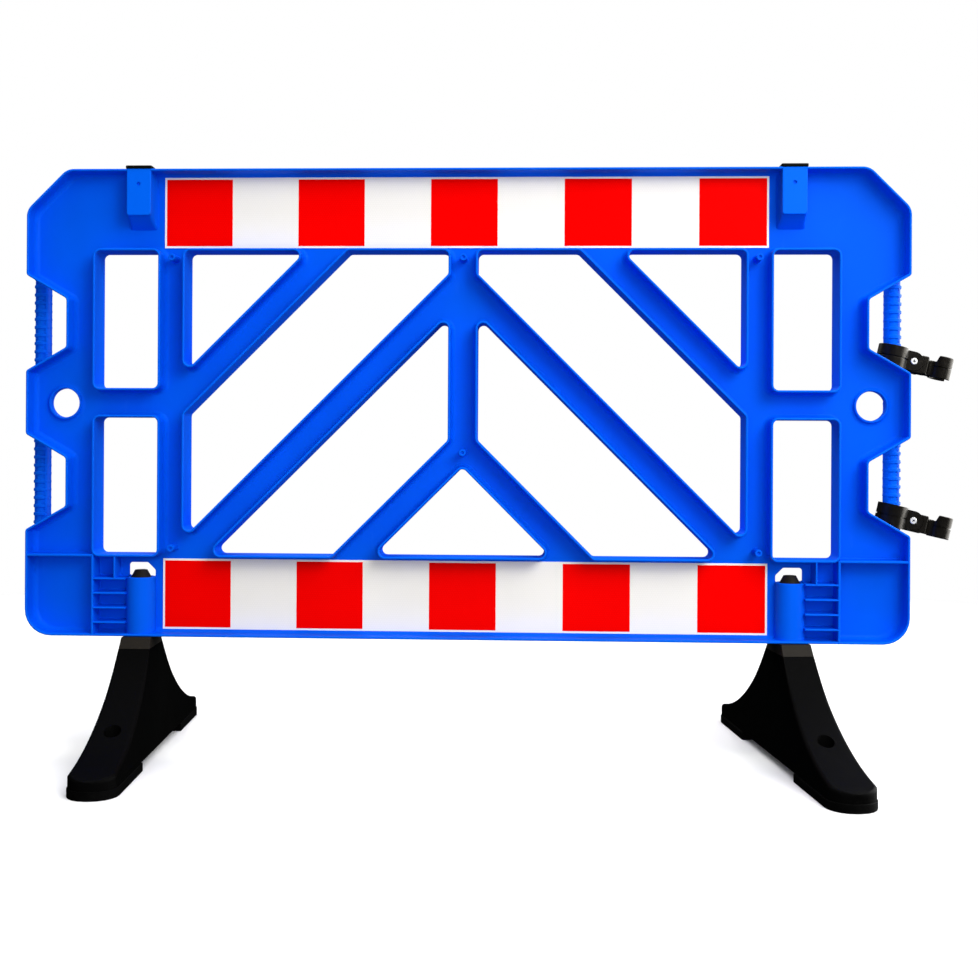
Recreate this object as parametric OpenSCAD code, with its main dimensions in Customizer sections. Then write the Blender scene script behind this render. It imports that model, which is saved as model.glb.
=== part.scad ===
// Plastic pedestrian barrier: one moulded panel with reflective strips, two feet that swivel on
// spigots, two clips that link it to the next barrier, and plugs over its two lamp sockets.
// X runs along the panel, Y from front to back and Z up from the floor. The origin lies on the
// floor under the middle of the panel. Sizes are in millimetres and angles in degrees.

/* [Panel] */
// Length of the moulded panel
panel_l = 1500; // [1440:10:1540]
// Height of the moulded panel
panel_h = 800; // [780:5:840]
// Depth of the rim round the panel and round each window
rim_d = 55; // [50:1:60]
// Wall thickness of the rim
rim_t = 4; // [3:0.5:6]
// Thickness of the web inside the rim
web_t = 4; // [3:0.5:6]
// How far the web lies behind the front of the rim
web_set = 35; // [30:1:38]
// Height of the top and bottom rails
rail_h = 140; // [136:1:150]
// Length of the cut across each top corner, along the edge
top_cut = 70; // [50:1:90]
// Radius where the top cuts meet the edges
top_r = 28; // [15:1:35]
// Radius of the bottom corners
bottom_r = 45; // [30:1:60]

/* [Windows] */
// Width of the plate at each end
end_w = 119; // [114:1:130]
// Width of the side windows
side_w = 109; // [100:1:116]
// Width of the posts beside the side windows
post_w = 46; // [40:1:56]
// Height of the bar between the side windows
cross_h = 50; // [40:1:70]
// Width of the centre post
centre_w = 50; // [40:1:60]
// Width of each diagonal brace
brace_w = 50; // [40:1:60]
// Height from one diagonal brace to the next
brace_pitch = 282; // [272:1:290]
// Height above the panel's bottom at which the top brace's line crosses the middle
brace_top = 892; // [880:1:904]
// Corner radius of the windows
window_r = 9; // [4:1:14]

/* [Ends] */
// Height of each notch at the end of the panel, as a share of the height between the rails
notch_share = 0.315; // [0.29:0.005:0.33]
// Height of each notch at its inner edge, as a share of the height between the rails
notch_inner_share = 0.16; // [0.14:0.005:0.18]
// Depth of each notch
notch_d = 69.5; // [60:0.5:75]
// Distance of the notches' centres from the middle, as a share of the height between the rails
notch_rise_share = 0.2625; // [0.24:0.0025:0.28]
// Corner radius of the notches
notch_r = 7; // [4:0.5:10]
// Diameter of the hand holes
hand_d = 50; // [40:1:60]
// Wall thickness of the collar round each hand hole
hand_wall = 5; // [3:0.5:8]
// How far the hand hole's collar stands out from the web
hand_rise = 6; // [3:0.5:10]
// Distance of the hand holes' centres from the panel's ends
hand_set = 58; // [52:1:62]
// Diameter of the pegs on the web
peg_d = 12; // [8:0.5:16]
// How far the ends of the pegs lie behind the rim's front edge
peg_set = 2; // [0:0.5:20]
// Distance of the pegs from the ends of the posts
peg_in = 11; // [9:0.5:16]
// Diameter of the connector bars over their ribs
bar_d = 30; // [26:0.5:32]
// Height of the ribs on the connector bars
bar_rib = 1.5; // [0.8:0.1:2.5]
// Pitch of the ribs on the connector bars
bar_pitch = 14.3; // [11:0.1:18]
// Width of the smooth flange along the inner side of the connector bars
bar_flange = 6.5; // [4:0.5:8]
// Distance of the left connector bar's centre from the panel's end
bar_set = 4; // [2:0.5:10]
// Distance from the panel's end to the centre of the right connector bar, which carries the clips
clip_bar_set = 12; // [8:0.5:14]
// Width of the brackets that carry the connector bars
bracket_w = 12; // [8:1:16]

/* [Sockets] */
// Distance of the feet and lamp sockets from the panel's ends
socket_set = 194; // [188:1:200]
// Outer diameter of the foot sockets
tube_d = 50; // [46:1:56]
// Length of the foot sockets
tube_l = 100; // [80:1:110]
// Bore of the foot sockets
tube_bore = 36.6; // [32:0.2:40]
// Width of the window over each foot socket
tip_w = 45; // [40:1:48]
// Height of the window over each foot socket
tip_h = 24; // [18:1:28]
// Cut across one top corner of the window over each foot socket
tip_cut = 13; // [6:1:15]
// Thickness of the stiffening ribs beside the foot sockets
rib_t = 3; // [2:0.5:5]
// Pitch of the stiffening ribs beside the foot sockets
rib_pitch = 25; // [20:1:28]
// Width of the lamp sockets
lamp_w = 42; // [38:1:46]
// Height of the lamp sockets at the front
lamp_h = 80; // [70:1:90]
// How much further the lamp sockets reach down at the web
lamp_slope = 20; // [10:1:30]
// Wall thickness of the lamp sockets
lamp_wall = 4; // [3:0.5:6]
// Diameter of the screw hole in each lamp socket
lamp_hole = 6.5; // [4:0.5:9]
// Depth of the screw hole below the panel's top
lamp_hole_drop = 26; // [18:1:50]
// Thickness of the head of the lamp socket plugs
plug_head_t = 5; // [3:0.5:8]
// How far the plug's head overhangs its stem
plug_lip = 6; // [4.5:0.5:7]
// Length of the plug's stem
plug_stem_l = 30; // [20:1:60]
// Wall thickness of the plug's hollow stem
plug_wall = 2.5; // [1.5:0.5:4]

/* [Strips] */
// Gap between the ends of the strips and the foot sockets
strip_gap = 11.5; // [6:0.5:30]
// Distance of the strips from the edges of the rails
strip_inset = 9; // [7:0.5:15]
// Thickness of the white sheet
strip_t = 1; // [0.6:0.1:2]
// White border round the red blocks
strip_border = 3.5; // [1:0.5:6]
// Number of red blocks on each strip
blocks = 5; // [3:2:5]
// Thickness of the red film
block_t = 0.4; // [0.2:0.1:1]

/* [Feet] */
// Height of the feet, from the floor to the panel
foot_h = 200; // [180:1:220]
// Length of the feet
foot_l = 636; // [600:2:660]
// Width of the feet at the bottom
foot_toe_w = 76; // [76:1:90]
// Width of the feet at the top
foot_neck_w = 50; // [44:1:60]
// Length of the feet at the top
foot_neck_l = 70; // [60:1:84]
// Height of the toes' tips
foot_toe_h = 32; // [26:1:36]
// Radius of the hollow curve along the top of the feet
foot_curve_r = 379; // [360:1:420]
// Plan radius of the toes' corners
foot_toe_r = 35; // [20:1:37]
// Thickness of the sole pads
sole_t = 14; // [8:0.5:16]
// How far the sole pads stand out round the toes
sole_lip = 1.5; // [0.5:0.5:3]
// Length of the bare arch between the sole pads
arch_l = 284; // [240:2:320]
// Diameter of the anchor holes in the feet
anchor_d = 27; // [16:1:30]
// Distance between the two anchor holes of a foot
anchor_span = 356; // [340:2:400]
// Turn of the left foot as it stands
left_turn = 2.9; // [-10:0.1:10]
// Turn of the right foot as it stands
right_turn = 6.1; // [-10:0.1:10]
// Height of the collar at the foot of each spigot
collar_h = 18; // [12:1:24]
// How far each spigot's tip stands above its socket
tip_rise = 12; // [6:1:16]
// Height of the cone at the spigot's tip
tip_cone_h = 14; // [8:1:18]
// Diameter of the flat end of the spigot's tip
tip_flat_d = 21; // [14:1:26]
// Diameter of the spigot's stem inside the foot
stem_d = 28; // [20:1:32]
// Length of the spigot's stem inside the foot
stem_l = 80; // [50:1:100]

/* [Clips] */
// Height of the clips
clip_h = 38; // [36:1:42]
// Slope at which the clips hang on the connector bar
clip_droop = 13; // [8:0.5:15]
// Wall thickness of the clip's clamp
clamp_wall = 6; // [5:0.1:7]
// Depth and height of the groove round the clips
groove = 2; // [1:0.5:2.5]
// Height of each clip's centre above the lower corner of its notch
clip_rest = 31; // [28:0.5:34]
// Distance from the bar's axis to the rivet
rivet_x = 34; // [33.5:0.5:38]
// Thickness of the hook's tongue between the clamp's ears
tongue_t = 12; // [8:0.5:14]
// Thickness of each ear of the clamp
ear_t = 8; // [5:0.5:9]
// Radius of the ears round the rivet
ear_r = 16.5; // [14:0.5:17]
// Diameter of the rivet's head
rivet_head_d = 12; // [10:0.5:14]
// Thickness of the rivet's head
rivet_head_t = 1.6; // [1:0.1:3]
// Diameter of the rivet's shank
rivet_d = 8; // [6:0.5:9]
// Bore of the tubular rivet
rivet_bore = 4; // [2:0.5:5]
// Distance from the rivet to the middle of the hook's jaw
jaw_reach = 51.5; // [48:0.5:58]
// Wall thickness of the hook's jaw
jaw_wall = 4.2; // [3:0.1:6]
// Width of the jaw's mouth, which snaps over a bar
jaw_mouth = 24; // [18:0.5:26]

/* [Fits] */
// Gap between parts that turn or slide on each other
run_gap = 0.4; // [0.3:0.05:0.6]
// Gap at a flat seat between parts that move
seat_gap = 0.3; // [0.2:0.05:0.5]
// Gap round a part that is pushed in for good
push_gap = 0.2; // [0.1:0.05:0.3]

/* [Hidden] */
$fn = 96;

blue = "#0a58e8";
white = "#f4f3ee";
red = "#f50505";
black = "#0c0c0c";
charcoal = "#1d1c1a";
steel = "#d8d8d6";

// Segments of a full turn in the rounded outlines
round_fn = 20;
// Extra length of a cut past the face that it opens
past = 1;

half_l = panel_l / 2;
panel_z = foot_h;
panel_top = panel_z + panel_h;
panel_mid = panel_z + panel_h / 2;
front = -rim_d / 2;
back = rim_d / 2;
web_front = front + web_set;
web_back = web_front + web_t;

field_z = panel_z + rail_h;
field_top = panel_top - rail_h;
side_out = half_l - end_w;
side_in = side_out - side_w;
post_in = side_in - post_w;

notch_h = notch_share * (field_top - field_z);
notch_inner_h = notch_inner_share * (field_top - field_z);
notch_rise = notch_rise_share * (field_top - field_z);
notch_in = half_l - notch_d;
clip_bar_x = half_l - clip_bar_set;
clip_drop = notch_h / 2 - clip_rest;

socket_x = half_l - socket_set;
strip_l = 2 * (socket_x - tube_d / 2 - strip_gap);
strip_h = rail_h - 2 * strip_inset;
block_w = (strip_l - 2 * strip_border) / (2 * blocks - 1);
block_h = strip_h - 2 * strip_border;
block_pitch = (strip_l - 2 * strip_border - block_w) / (blocks - 1);

// A clip that hangs askew needs a bore wider than its bar, and sweeps a wider circle as it swings
clip_tilt_reach = clip_h / 2 * sin(clip_droop);
clamp_bore_r = (bar_d / 2 + run_gap + clip_tilt_reach) / cos(clip_droop);
clamp_r = clamp_bore_r + clamp_wall;
clamp_flat_x = clamp_r - clamp_wall / 2;
clip_sweep_r = clamp_r * cos(clip_droop) + clip_tilt_reach;
bar_y = web_back + seat_gap * 2 + clip_sweep_r;
relief_h = notch_h + 2 * clip_sweep_r;
jaw_bore_r = bar_d / 2 + run_gap;
jaw_r = jaw_bore_r + jaw_wall;
rivet_half = tongue_t / 2 + run_gap + ear_t;

spigot_d = tube_bore - 2 * run_gap;
collar_top = foot_h - seat_gap;
collar_z = foot_h - collar_h;
stem_bore_r = stem_d / 2 + push_gap;

lamp_in = [lamp_w - 2 * lamp_wall, web_front - front - 2 * lamp_wall];
lamp_mid_y = (front + web_front) / 2;

// Height of a brace's centre line at the middle of the panel
function brace_line(i) = panel_z + brace_top - i * brace_pitch;

// Centre of the arc of radius r through two points, on the left of the way from p to q
function arc_centre(p, q, r) =
    let (d = q - p, half = norm(d) / 2, side = [-d[1], d[0]] / norm(d))
    (p + q) / 2 + side * sqrt(r * r - half * half);

foot_curve = arc_centre([foot_neck_l / 2, foot_h], [foot_l / 2, foot_toe_h], foot_curve_r);

// Extrudes an upright outline, drawn in X and Z, from one depth to another
module slab(y0, y1) {
    translate([0, y1, 0])
        rotate([90, 0, 0])
            linear_extrude(y1 - y0) children();
}

// Draws a shape on both ends of the panel
module both_ends() {
    children();
    mirror([1, 0, 0]) children();
}

// Rounds the outer corners of an outline
module rounded(r) {
    offset(r = r, $fn = round_fn) offset(delta = -r) children();
}

// Panel

module notch() {
    outer = notch_h / 2;
    inner = notch_inner_h / 2;
    slope = (outer - inner) / notch_d;
    run = notch_d + past;
    for (side = [-1, 1])
        translate([notch_in, panel_mid + side * notch_rise])
            polygon([
                [0, -inner],
                [run, -inner - slope * run],
                [run, inner + slope * run],
                [0, inner]
            ]);
}

module outline() {
    offset(r = notch_r, $fn = round_fn)
        offset(delta = -2 * notch_r)
            offset(r = notch_r, $fn = round_fn)
                difference() {
                    intersection() {
                        rounded(top_r)
                            polygon([
                                [-half_l, panel_z - panel_h],
                                [half_l, panel_z - panel_h],
                                [half_l, panel_top - top_cut],
                                [half_l - top_cut, panel_top],
                                [top_cut - half_l, panel_top],
                                [-half_l, panel_top - top_cut]
                            ]);
                        rounded(bottom_r)
                            translate([-half_l, panel_z])
                                square([panel_l, 2 * panel_h]);
                    }
                    both_ends() notch();
                }
}

module brace(i) {
    rise = brace_w / sqrt(2);
    line = brace_line(i);
    polygon([
        [0, line - rise],
        [half_l, line - rise - half_l],
        [half_l, line + rise - half_l],
        [0, line + rise]
    ]);
}

module windows() {
    rounded(window_r) {
        difference() {
            translate([-post_in, field_z])
                square([2 * post_in, field_top - field_z]);
            both_ends()
                for (i = [0:2]) brace(i);
            translate([-centre_w / 2, brace_line(2)])
                square([centre_w, panel_h]);
        }
        both_ends() {
            translate([side_in, field_z])
                square([side_w, panel_mid - cross_h / 2 - field_z]);
            translate([side_in, panel_mid + cross_h / 2])
                square([side_w, field_top - panel_mid - cross_h / 2]);
        }
    }
}

module plate() {
    difference() {
        outline();
        windows();
    }
}

module rim_walls() {
    difference() {
        plate();
        difference() {
            offset(delta = -rim_t) outline();
            offset(r = rim_t, $fn = round_fn) windows();
        }
    }
}

// The rear of the rim stops short of the notches, where the clips hang
module notch_relief() {
    for (side = [-1, 1])
        translate([notch_in - 2 * rim_t, panel_mid + side * notch_rise - relief_h / 2])
            square([notch_d + 3 * rim_t, relief_h]);
}

module shell() {
    slab(front, web_back) rim_walls();
    slab(web_back, back)
        difference() {
            rim_walls();
            both_ends() notch_relief();
        }
    slab(web_front, web_back) plate();
}

// Ladder of ribs between a foot socket and the rib below the side window
module corner_ribs() {
    top = panel_z + tube_l;
    slab(front, back) {
        translate([side_out, panel_z])
            square([rim_t, rail_h]);
        translate([side_out, field_z - rim_t])
            square([end_w - rim_t / 2, rim_t]);
        translate([(side_out + socket_x + tube_d / 2) / 2 - rib_pitch / 2, top])
            square([rib_t, field_z - top]);
        for (i = [0:3])
            translate([socket_x + tube_bore / 2 + rib_t, top - i * rib_pitch - rib_t])
                square([side_out - socket_x - tube_bore / 2, rib_t]);
    }
}

module lamp_socket() {
    translate([socket_x - lamp_w / 2, 0, 0])
        rotate([90, 0, 90])
            linear_extrude(lamp_w)
                polygon([
                    [front, panel_top],
                    [front, panel_top - lamp_h],
                    [web_front + web_t / 2, panel_top - lamp_h - lamp_slope],
                    [web_front + web_t / 2, panel_top]
                ]);
}

// Round pegs on the web, at the ends of the posts and at the lowest fork
module web_pegs() {
    post_mid = (post_in + side_in) / 2;
    at = [
        [post_mid, field_top - peg_in],
        [-post_mid, field_top - peg_in],
        [0, field_top - peg_in],
        [post_mid, field_z + peg_in],
        [-post_mid, field_z + peg_in],
        [0, brace_line(2) - peg_in]
    ];
    for (p = at)
        translate([p[0], web_front + web_t / 2, p[1]])
            rotate([90, 0, 0])
                cylinder(d = peg_d, h = web_front + web_t / 2 - front - peg_set);
}

// Ribbed rod that the clips hold, with the brackets that carry it behind the end plate
module connector_bar(x) {
    reach = notch_rise + relief_h / 2 + bar_pitch;
    count = floor(2 * reach / bar_pitch);
    bar_r = bar_d / 2;
    root_r = bar_r - bar_rib;
    ridge_t = 3.5;
    ramp = bar_pitch / 10;
    crest = bar_pitch / 3;
    rib = [[0, ramp], [bar_rib, 2 * ramp], [bar_rib, 2 * ramp + crest], [0, 3 * ramp + crest]];
    length = count * bar_pitch;
    low = panel_mid - length / 2;
    translate([x, bar_y, low]) {
        rotate_extrude()
            polygon(concat(
                [[0, 0], [root_r, 0]],
                [for (i = [0:count - 1], p = rib) [root_r + p[0], i * bar_pitch + p[1]]],
                [[root_r, length], [0, length]]
            ));
        linear_extrude(length)
            intersection() {
                circle(r = bar_r - bar_rib / 4);
                union() {
                    translate([-bar_r, -bar_r])
                        square([bar_flange, bar_d]);
                    translate([bar_r / 2, -bar_r])
                        square([ridge_t, bar_r]);
                }
            }
    }
    bracket_y = web_front + web_t / 2;
    middle_h = 2 * notch_rise - relief_h;
    for (b = [
        [low, (length - middle_h) / 2 - relief_h],
        [panel_mid - middle_h / 2, middle_h],
        [panel_mid + middle_h / 2 + relief_h, (length - middle_h) / 2 - relief_h]
    ])
        translate([x - bracket_w / 2, bracket_y, b[0]])
            cube([bracket_w, bar_y - bracket_y, b[1]]);
}

module panel_cuts() {
    translate([socket_x, 0, panel_z - past])
        cylinder(d = tube_bore, h = tube_l + 2 * past);
    tip_z = panel_z + tube_l;
    slab(web_front - past, web_back + past)
        translate([socket_x, tip_z])
            polygon([
                [-tip_w / 2, 0],
                [tip_w / 2, 0],
                [tip_w / 2, tip_h],
                [tip_cut - tip_w / 2, tip_h],
                [-tip_w / 2, tip_h - tip_cut]
            ]);
    translate([socket_x - lamp_in[0] / 2, lamp_mid_y - lamp_in[1] / 2, panel_top - lamp_h + lamp_wall])
        cube([lamp_in[0], lamp_in[1], lamp_h]);
    translate([socket_x, lamp_mid_y, panel_top - lamp_hole_drop])
        rotate([90, 0, 0])
            cylinder(d = lamp_hole, h = rim_d);
    translate([half_l - hand_set, rim_d, panel_mid])
        rotate([90, 0, 0])
            cylinder(d = hand_d, h = 2 * rim_d);
}

module barrier_panel() {
    color(blue)
        difference() {
            union() {
                shell();
                web_pegs();
                connector_bar(clip_bar_x);
                mirror([1, 0, 0]) connector_bar(half_l - bar_set);
                both_ends() {
                    corner_ribs();
                    lamp_socket();
                    translate([socket_x, 0, panel_z])
                        cylinder(d = tube_d, h = tube_l);
                    translate([half_l - hand_set, web_back + hand_rise, panel_mid])
                        rotate([90, 0, 0])
                            cylinder(d = hand_d + 2 * hand_wall, h = web_t + 2 * hand_rise);
                }
            }
            both_ends() panel_cuts();
        }
}

// Reflective strips

top_strip_z = panel_top - rail_h / 2;
bottom_strip_z = panel_z + rail_h / 2;

module sheet(width, height, y0, y1, x, z) {
    slab(y0, y1)
        translate([x - width / 2, z - height / 2])
            square([width, height]);
}

module strip(z, rear) {
    y = rear ? web_back : web_front - strip_t;
    color(white)
        sheet(strip_l, strip_h, y, y + strip_t, 0, z);
}

module red_blocks(z, rear) {
    y = rear ? web_back + strip_t : web_front - strip_t - block_t;
    color(red)
        for (i = [0:blocks - 1])
            sheet(block_w, block_h, y, y + block_t, (i - (blocks - 1) / 2) * block_pitch, z);
}

// Lamp socket plug: a flat head with a hollow stem

module socket_plug() {
    stem = [lamp_in[0] - 2 * run_gap, lamp_in[1] - 2 * run_gap];
    head = [stem[0] + 2 * plug_lip, stem[1] + 2 * plug_lip];
    hollow = [stem[0] - 2 * plug_wall, stem[1] - 2 * plug_wall];
    color(black)
        translate([socket_x, lamp_mid_y, panel_top + seat_gap]) {
            linear_extrude(plug_head_t)
                rounded(plug_lip / 2)
                    square(head, center = true);
            translate([0, 0, -plug_stem_l])
                linear_extrude(plug_stem_l + plug_head_t / 2)
                    difference() {
                        square(stem, center = true);
                        square(hollow, center = true);
                    }
        }
}

// Feet

module at_foot(side) {
    translate([side * socket_x, 0, 0])
        rotate([0, 0, side > 0 ? right_turn : left_turn])
            children();
}

module foot_plan(grow = 0) {
    toe = [foot_toe_w / 2 + grow, foot_l / 2 + grow - sole_lip];
    rounded(foot_toe_r + grow) square(2 * toe, center = true);
}

// Form of the foot and of the collar above it between two heights: sides that lean in to the top,
// round toes, and a hollow curve along the top of each end
module foot_form(z0, z1) {
    toe = foot_toe_w / 2;
    neck = foot_neck_w / 2;
    difference() {
        intersection() {
            translate([0, 0, z0])
                linear_extrude(z1 - z0) foot_plan();
            rotate([90, 0, 0])
                linear_extrude(foot_l, center = true)
                    polygon([[-toe, sole_t], [toe, sole_t], [neck, foot_h], [-neck, foot_h]]);
        }
        for (end = [-1, 1])
            translate([-foot_l, end * foot_curve[0], foot_curve[1]])
                rotate([0, 90, 0])
                    cylinder(r = foot_curve_r, h = 2 * foot_l, $fn = 2 * $fn);
    }
}

module anchor_holes() {
    for (end = [-1, 1])
        translate([0, end * anchor_span / 2, -past])
            cylinder(d = anchor_d, h = foot_h);
}

module foot(side) {
    color(black)
        at_foot(side)
            difference() {
                foot_form(sole_t, collar_z);
                anchor_holes();
                translate([0, 0, collar_z - stem_l])
                    cylinder(r = stem_bore_r, h = stem_l + past);
            }
}

module spigot(side) {
    tube_top = panel_z + tube_l;
    cone_z = tube_top + tip_rise - tip_cone_h;
    color(charcoal)
        at_foot(side) {
            foot_form(collar_z, collar_top);
            translate([0, 0, collar_z - stem_l])
                cylinder(d = stem_d, h = stem_l + collar_h / 2);
            translate([0, 0, collar_z + collar_h / 2])
                cylinder(d = spigot_d, h = cone_z - collar_z - collar_h / 2);
            translate([0, 0, cone_z])
                cylinder(d1 = spigot_d, d2 = tip_flat_d, h = tip_cone_h);
        }
}

module sole(side, end) {
    color(black)
        at_foot(side)
            difference() {
                linear_extrude(sole_t)
                    intersection() {
                        foot_plan(sole_lip);
                        translate([-foot_l / 2, end > 0 ? arch_l / 2 : -foot_l])
                            square([foot_l, foot_l - arch_l / 2]);
                    }
                anchor_holes();
            }
}

// Clips

module at_clip(level) {
    translate([clip_bar_x, bar_y, panel_mid + level * notch_rise - clip_drop])
        rotate([0, clip_droop, 0])
            children();
}

module upright_ring(r, bore, h) {
    difference() {
        cylinder(r = r, h = h, center = true);
        cylinder(r = bore, h = h + 2 * past, center = true);
    }
}

// Half of the clamp round the bar, with its ear on the rivet; end is -1 in front and 1 behind
module clamp_half(level, end) {
    ear_y = tongue_t / 2 + run_gap;
    color(black)
        at_clip(level)
            difference() {
                union() {
                    cylinder(r = clamp_r, h = clip_h, center = true);
                    rotate([90, 0, 0]) {
                        linear_extrude(2 * rivet_half, center = true) {
                            translate([0, -ear_r])
                                square([rivet_x, 2 * ear_r]);
                            translate([rivet_x, 0]) circle(r = ear_r);
                        }
                    }
                }
                cylinder(r = clamp_bore_r, h = clip_h + 2 * past, center = true);
                upright_ring(clamp_r + past, clamp_r - groove, groove);
                translate([-2 * clip_h, end > 0 ? -4 * clip_h + push_gap : -push_gap, -clip_h])
                    cube([6 * clip_h, 4 * clip_h, 2 * clip_h]);
                translate([clamp_flat_x, -ear_y, -clip_h])
                    cube([2 * clip_h, 2 * ear_y, 2 * clip_h]);
                translate([rivet_x, 0, 0])
                    rotate([90, 0, 0])
                        cylinder(d = rivet_d + 2 * push_gap, h = 4 * clip_h, center = true);
            }
}

module rivet(level) {
    rim = rivet_head_d - rivet_head_t;
    color(steel)
        at_clip(level)
            translate([rivet_x, 0, 0])
                rotate([90, 0, 0])
                    difference() {
                        union() {
                            cylinder(d = rivet_d, h = 2 * rivet_half + rivet_head_t, center = true);
                            for (end = [0, 1])
                                mirror([0, 0, end])
                                    translate([0, 0, rivet_half])
                                        cylinder(d1 = rivet_head_d, d2 = rim, h = rivet_head_t);
                        }
                        cylinder(d = rivet_bore, h = 4 * clip_h, center = true);
                    }
}

// Hook that swings on the rivet and snaps over the next barrier's bar; a lip under the ears stops it
module hook(level) {
    tongue_r = rivet_x - clamp_flat_x - run_gap;
    jaw_x = rivet_x + jaw_reach;
    shoulder = ear_r + run_gap;
    stop_l = 6;
    neck_drop = 10;
    color(black)
        at_clip(level)
            difference() {
                union() {
                    rotate([90, 0, 0]) {
                        linear_extrude(tongue_t, center = true) {
                            translate([rivet_x, 0]) circle(r = tongue_r);
                            translate([rivet_x, -tongue_r])
                                square([jaw_reach - jaw_bore_r, 2 * tongue_r]);
                        }
                        linear_extrude(2 * rivet_half, center = true) {
                            difference() {
                                translate([rivet_x, -clip_h / 2])
                                    square([jaw_reach - jaw_bore_r, clip_h - neck_drop]);
                                translate([rivet_x, 0]) circle(r = shoulder);
                            }
                            translate([rivet_x - stop_l, -clip_h / 2])
                                square([2 * stop_l, clip_h / 2 - shoulder]);
                        }
                    }
                    translate([jaw_x, 0, 0])
                        cylinder(r = jaw_r, h = clip_h, center = true);
                }
                translate([jaw_x, 0, 0]) {
                    cylinder(r = jaw_bore_r, h = 2 * clip_h, center = true);
                    upright_ring(jaw_r + past, jaw_r - groove, groove);
                    translate([0, -jaw_mouth / 2, -clip_h])
                        cube([clip_h, jaw_mouth, 2 * clip_h]);
                }
                translate([rivet_x, 0, 0])
                    rotate([90, 0, 0])
                        cylinder(d = rivet_d + 2 * run_gap, h = 2 * clip_h, center = true);
            }
}

barrier_panel();
strip(top_strip_z, false);  // top_front_strip
strip(top_strip_z, true);  // top_rear_strip
strip(bottom_strip_z, false);  // bottom_front_strip
strip(bottom_strip_z, true);  // bottom_rear_strip
red_blocks(top_strip_z, false);  // top_front_blocks
red_blocks(top_strip_z, true);  // top_rear_blocks
red_blocks(bottom_strip_z, false);  // bottom_front_blocks
red_blocks(bottom_strip_z, true);  // bottom_rear_blocks
mirror([1, 0, 0]) socket_plug();  // left_socket_plug
socket_plug();  // right_socket_plug
foot(-1);  // left_foot
foot(1);  // right_foot
spigot(-1);  // left_spigot
spigot(1);  // right_spigot
sole(-1, -1);  // left_front_sole
sole(-1, 1);  // left_rear_sole
sole(1, -1);  // right_front_sole
sole(1, 1);  // right_rear_sole
clamp_half(1, -1);  // upper_clamp_front
clamp_half(1, 1);  // upper_clamp_rear
rivet(1);  // upper_rivet
hook(1);  // upper_hook
clamp_half(-1, -1);  // lower_clamp_front
clamp_half(-1, 1);  // lower_clamp_rear
rivet(-1);  // lower_rivet
hook(-1);  // lower_hook
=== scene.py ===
"""Plastic pedestrian barrier: the dressed model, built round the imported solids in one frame, in metres.

X runs along the panel to the end with the clips, Y from front to back, Z up from the floor. Sizes in the sections
below are in millimetres and are scaled once, where a piece's mesh is made.
"""
import math

import bmesh
import bpy
import numpy as np
from mathutils import Matrix, Vector
from mathutils.geometry import delaunay_2d_cdt


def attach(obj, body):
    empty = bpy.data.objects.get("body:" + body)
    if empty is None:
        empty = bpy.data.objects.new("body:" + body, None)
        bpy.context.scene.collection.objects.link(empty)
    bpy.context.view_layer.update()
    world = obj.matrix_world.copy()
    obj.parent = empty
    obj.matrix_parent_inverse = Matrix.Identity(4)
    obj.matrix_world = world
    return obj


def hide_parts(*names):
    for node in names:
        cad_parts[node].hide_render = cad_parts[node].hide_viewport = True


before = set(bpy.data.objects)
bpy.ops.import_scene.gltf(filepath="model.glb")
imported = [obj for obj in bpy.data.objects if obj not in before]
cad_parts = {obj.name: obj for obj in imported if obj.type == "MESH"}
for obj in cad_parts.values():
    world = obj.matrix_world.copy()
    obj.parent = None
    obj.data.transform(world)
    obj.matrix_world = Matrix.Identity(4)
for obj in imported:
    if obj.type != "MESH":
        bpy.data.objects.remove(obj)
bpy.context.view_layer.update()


# The panel: one polyethylene moulding, a flat web inside a deep rim. Every window has a rim of its own, and each
# rim stands on the web in a soft cove and ends in a rounded lip on both faces.
MM = 0.001
MERGE, CREASE = MM / 500, 32.0


class Shell:
    """Points and faces of one piece while it is put together, in millimetres."""

    def __init__(self):
        self.points, self.faces, self.count = [], [], 0

    def grid(self, surface, wrap_rows=False):
        """Quads between neighbouring points of a surface given as rings, whose last ring may join the first."""
        surface = np.asarray(surface, float)
        rows, cols = surface.shape[:2]
        i, j = np.meshgrid(np.arange(rows if wrap_rows else rows - 1), np.arange(cols), indexing="ij")
        below, right = (i + 1) % rows, (j + 1) % cols
        quads = np.stack((i * cols + j, i * cols + right, below * cols + right, below * cols + j), -1)
        self.patch(surface.reshape(-1, 3), quads.reshape(-1, 4))

    def patch(self, points, faces):
        """Ready faces on their own points."""
        self.points.append(np.asarray(points, float))
        self.faces += (np.asarray(faces) + self.count).tolist()
        self.count += len(points)

    def tube(self, surface):
        """A closed grid of rings whose first and last ring are filled with one face each."""
        surface = np.asarray(surface, float)
        self.grid(surface)
        ring = np.arange(surface.shape[1])[None]
        self.patch(surface[0], ring)
        self.patch(surface[-1], ring)

    def piece(self, name, crease=CREASE):
        """Mesh object: points that coincide are merged, faces turned outwards, sharp edges kept sharp."""
        mesh = bpy.data.meshes.new(name)
        mesh.from_pydata(np.concatenate(self.points) * MM, [], self.faces)
        shape = bmesh.new()
        shape.from_mesh(mesh)
        bmesh.ops.remove_doubles(shape, verts=shape.verts, dist=MERGE)
        bmesh.ops.recalc_face_normals(shape, faces=shape.faces)
        shape.to_mesh(mesh)
        shape.free()
        made = bpy.data.objects.new(name, mesh)
        bpy.context.scene.collection.objects.link(made)
        return even_shading(made, crease)


def even_shading(piece, crease):
    """Smooth shading that keeps edges sharper than crease degrees, and keeps broad faces flat."""
    piece.data.shade_smooth()
    piece.data.set_sharp_from_angle(angle=math.radians(crease))
    flat = piece.modifiers.new("broad_faces_flat", "WEIGHTED_NORMAL")
    flat.keep_sharp = True
    return piece


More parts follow.
